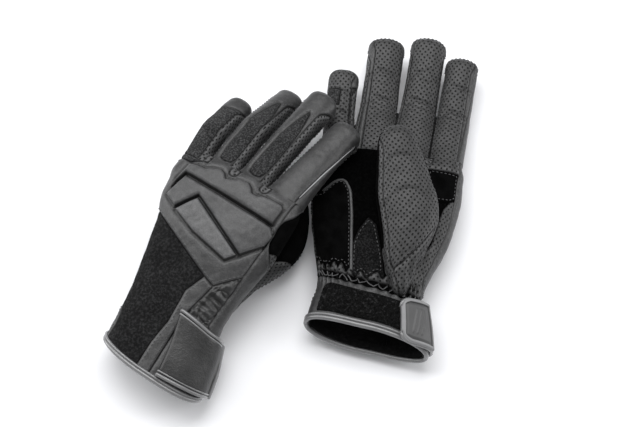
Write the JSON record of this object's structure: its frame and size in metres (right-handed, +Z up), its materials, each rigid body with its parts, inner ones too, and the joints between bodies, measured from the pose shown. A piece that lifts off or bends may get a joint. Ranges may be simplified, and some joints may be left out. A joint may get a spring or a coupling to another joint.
{
  "type": "pair of motorcycle riding gloves",
  "caption": "Pair of short-cuff leather riding gloves, the left laid back up across the right lying palm up, with knuckle pads, bending fingers and peel-open wrist straps.",
  "frame": {"origin": "centre of the pair's bounding box, on the surface the pair lies on", "axes": "+Z up from the surface, +Y along the right glove from its cuff to its fingertips, +X from the left glove towards the right one"},
  "size_m": [0.2438, 0.3174, 0.065],
  "materials": {
    "leather": "semi-matt smooth goat leather",
    "perforated_leather": "matt perforated leather",
    "stretch_textile": "brushed stretch textile",
    "suede": "napped suede",
    "hook_and_loop": "fuzzy loop and hook tape",
    "lining": "matt knitted lining",
    "piping": "glossy coated edge binding",
    "tab_rubber": "moulded matt rubber"
  },
  "bodies": {
    "right_hand": {"right_lining": "lining", "right_palm_panel": "suede", "right_wrist_elastic": "stretch_textile", "right_cuff_palm": "leather", "right_loop_patch": "hook_and_loop", "right_back_panel": "leather", "right_side_textile": "stretch_textile", "right_cuff_back": "leather", "right_pad_upper": "leather", "right_pad_chevron": "leather", "right_pad_lower": "leather", "right_hem_binding": "piping", "right_strap_root": "leather", "right_little_proximal": "perforated_leather", "right_ring_proximal": "perforated_leather", "right_ring_inset": "stretch_textile", "right_middle_proximal": "perforated_leather", "right_middle_inset": "stretch_textile", "right_index_proximal": "perforated_leather"},
    "right_strap": {"right_strap_flap": "leather", "right_strap_piping_lower": "piping", "right_strap_piping_upper": "piping", "right_strap_tab": "tab_rubber", "right_hook_patch": "hook_and_loop"},
    "right_thumb": {"right_thumb_back": "stretch_textile", "right_thumb_palm": "perforated_leather"},
    "right_little_tip": {"right_little_distal": "perforated_leather"},
    "right_ring_tip": {"right_ring_distal": "perforated_leather"},
    "right_middle_tip": {"right_middle_distal": "perforated_leather"},
    "right_index_tip": {"right_index_distal": "perforated_leather"},
    "left_hand": {"left_lining": "lining", "left_palm_panel": "suede", "left_wrist_elastic": "stretch_textile", "left_cuff_palm": "leather", "left_loop_patch": "hook_and_loop", "left_back_panel": "leather", "left_side_textile": "stretch_textile", "left_cuff_back": "leather", "left_pad_upper": "leather", "left_pad_chevron": "leather", "left_pad_lower": "leather", "left_hem_binding": "piping", "left_strap_root": "leather", "left_little_proximal": "perforated_leather", "left_ring_proximal": "perforated_leather", "left_ring_inset": "stretch_textile", "left_middle_proximal": "perforated_leather", "left_middle_inset": "stretch_textile", "left_index_proximal": "perforated_leather"},
    "left_strap": {"left_strap_flap": "leather", "left_strap_piping_lower": "piping", "left_strap_piping_upper": "piping", "left_strap_tab": "tab_rubber", "left_hook_patch": "hook_and_loop"},
    "left_thumb": {"left_thumb_back": "stretch_textile", "left_thumb_palm": "perforated_leather"},
    "left_little_tip": {"left_little_distal": "perforated_leather"},
    "left_ring_tip": {"left_ring_distal": "perforated_leather"},
    "left_middle_tip": {"left_middle_distal": "perforated_leather"},
    "left_index_tip": {"left_index_distal": "perforated_leather"}
  },
  "joints": [
    {"name": "right_strap_peel", "type": "hinge", "parent": "right_hand", "child": "right_strap", "pos_m": [0.10822, -0.07773, 0.01496], "axis": [-0.2195, 0.9754, -0.0189], "range_deg": [0, 80]},
    {"name": "right_thumb_swing", "type": "hinge", "parent": "right_hand", "child": "right_thumb", "pos_m": [0.09698, -0.04433, 0.0329], "axis": [0.9588, 0.284, 0], "range_deg": [0, 40]},
    {"name": "right_little_flex", "type": "hinge", "parent": "right_hand", "child": "right_little_tip", "pos_m": [0.02165, 0.08291, 0.01974], "axis": [0.9994, 0.0349, 0], "range_deg": [0, 30]},
    {"name": "right_ring_flex", "type": "hinge", "parent": "right_hand", "child": "right_ring_tip", "pos_m": [0.05011, 0.09984, 0.01827], "axis": [1, 0.0035, 0], "range_deg": [0, 75]},
    {"name": "right_middle_flex", "type": "hinge", "parent": "right_hand", "child": "right_middle_tip", "pos_m": [0.08063, 0.10179, 0.01815], "axis": [0.9991, -0.0419, 0], "range_deg": [0, 75]},
    {"name": "right_index_flex", "type": "hinge", "parent": "right_hand", "child": "right_index_tip", "pos_m": [0.10816, 0.09482, 0.01876], "axis": [0.9989, -0.0471, 0], "range_deg": [0, 75]},
    {"name": "left_strap_peel", "type": "hinge", "parent": "left_hand", "child": "left_strap", "pos_m": [-0.03992, -0.13162, 0.02969], "axis": [-0.1242, -0.9789, -0.162], "range_deg": [0, 80]},
    {"name": "left_thumb_swing", "type": "hinge", "parent": "left_hand", "child": "left_thumb", "pos_m": [-0.04701, -0.08548, 0.01571], "axis": [-0.9171, 0.3987, 0], "range_deg": [0, 40]},
    {"name": "left_little_flex", "type": "hinge", "parent": "left_hand", "child": "left_little_tip", "pos_m": [-0.06795, 0.04437, 0.03927], "axis": [-0.9136, 0.4066, 0.0015], "range_deg": [0, 60]},
    {"name": "left_ring_flex", "type": "hinge", "parent": "left_hand", "child": "left_ring_tip", "pos_m": [-0.03883, 0.049, 0.03995], "axis": [-0.8922, 0.4516, 0.0103], "range_deg": [0, 60]},
    {"name": "left_middle_flex", "type": "hinge", "parent": "left_hand", "child": "left_middle_tip", "pos_m": [-0.0146, 0.04051, 0.0401], "axis": [-0.8777, 0.479, 0.0157], "range_deg": [-15, 0]},
    {"name": "left_index_flex", "type": "hinge", "parent": "left_hand", "child": "left_index_tip", "pos_m": [0.00853, 0.02321, 0.04076], "axis": [-0.8535, 0.5206, 0.0242], "range_deg": [-15, 0]},
    {"name": "left_glove_lift", "type": "slide", "parent": "right_hand", "child": "left_hand", "axis": [0, 0, 1], "range_m": [0, 0.15]}
  ]
}
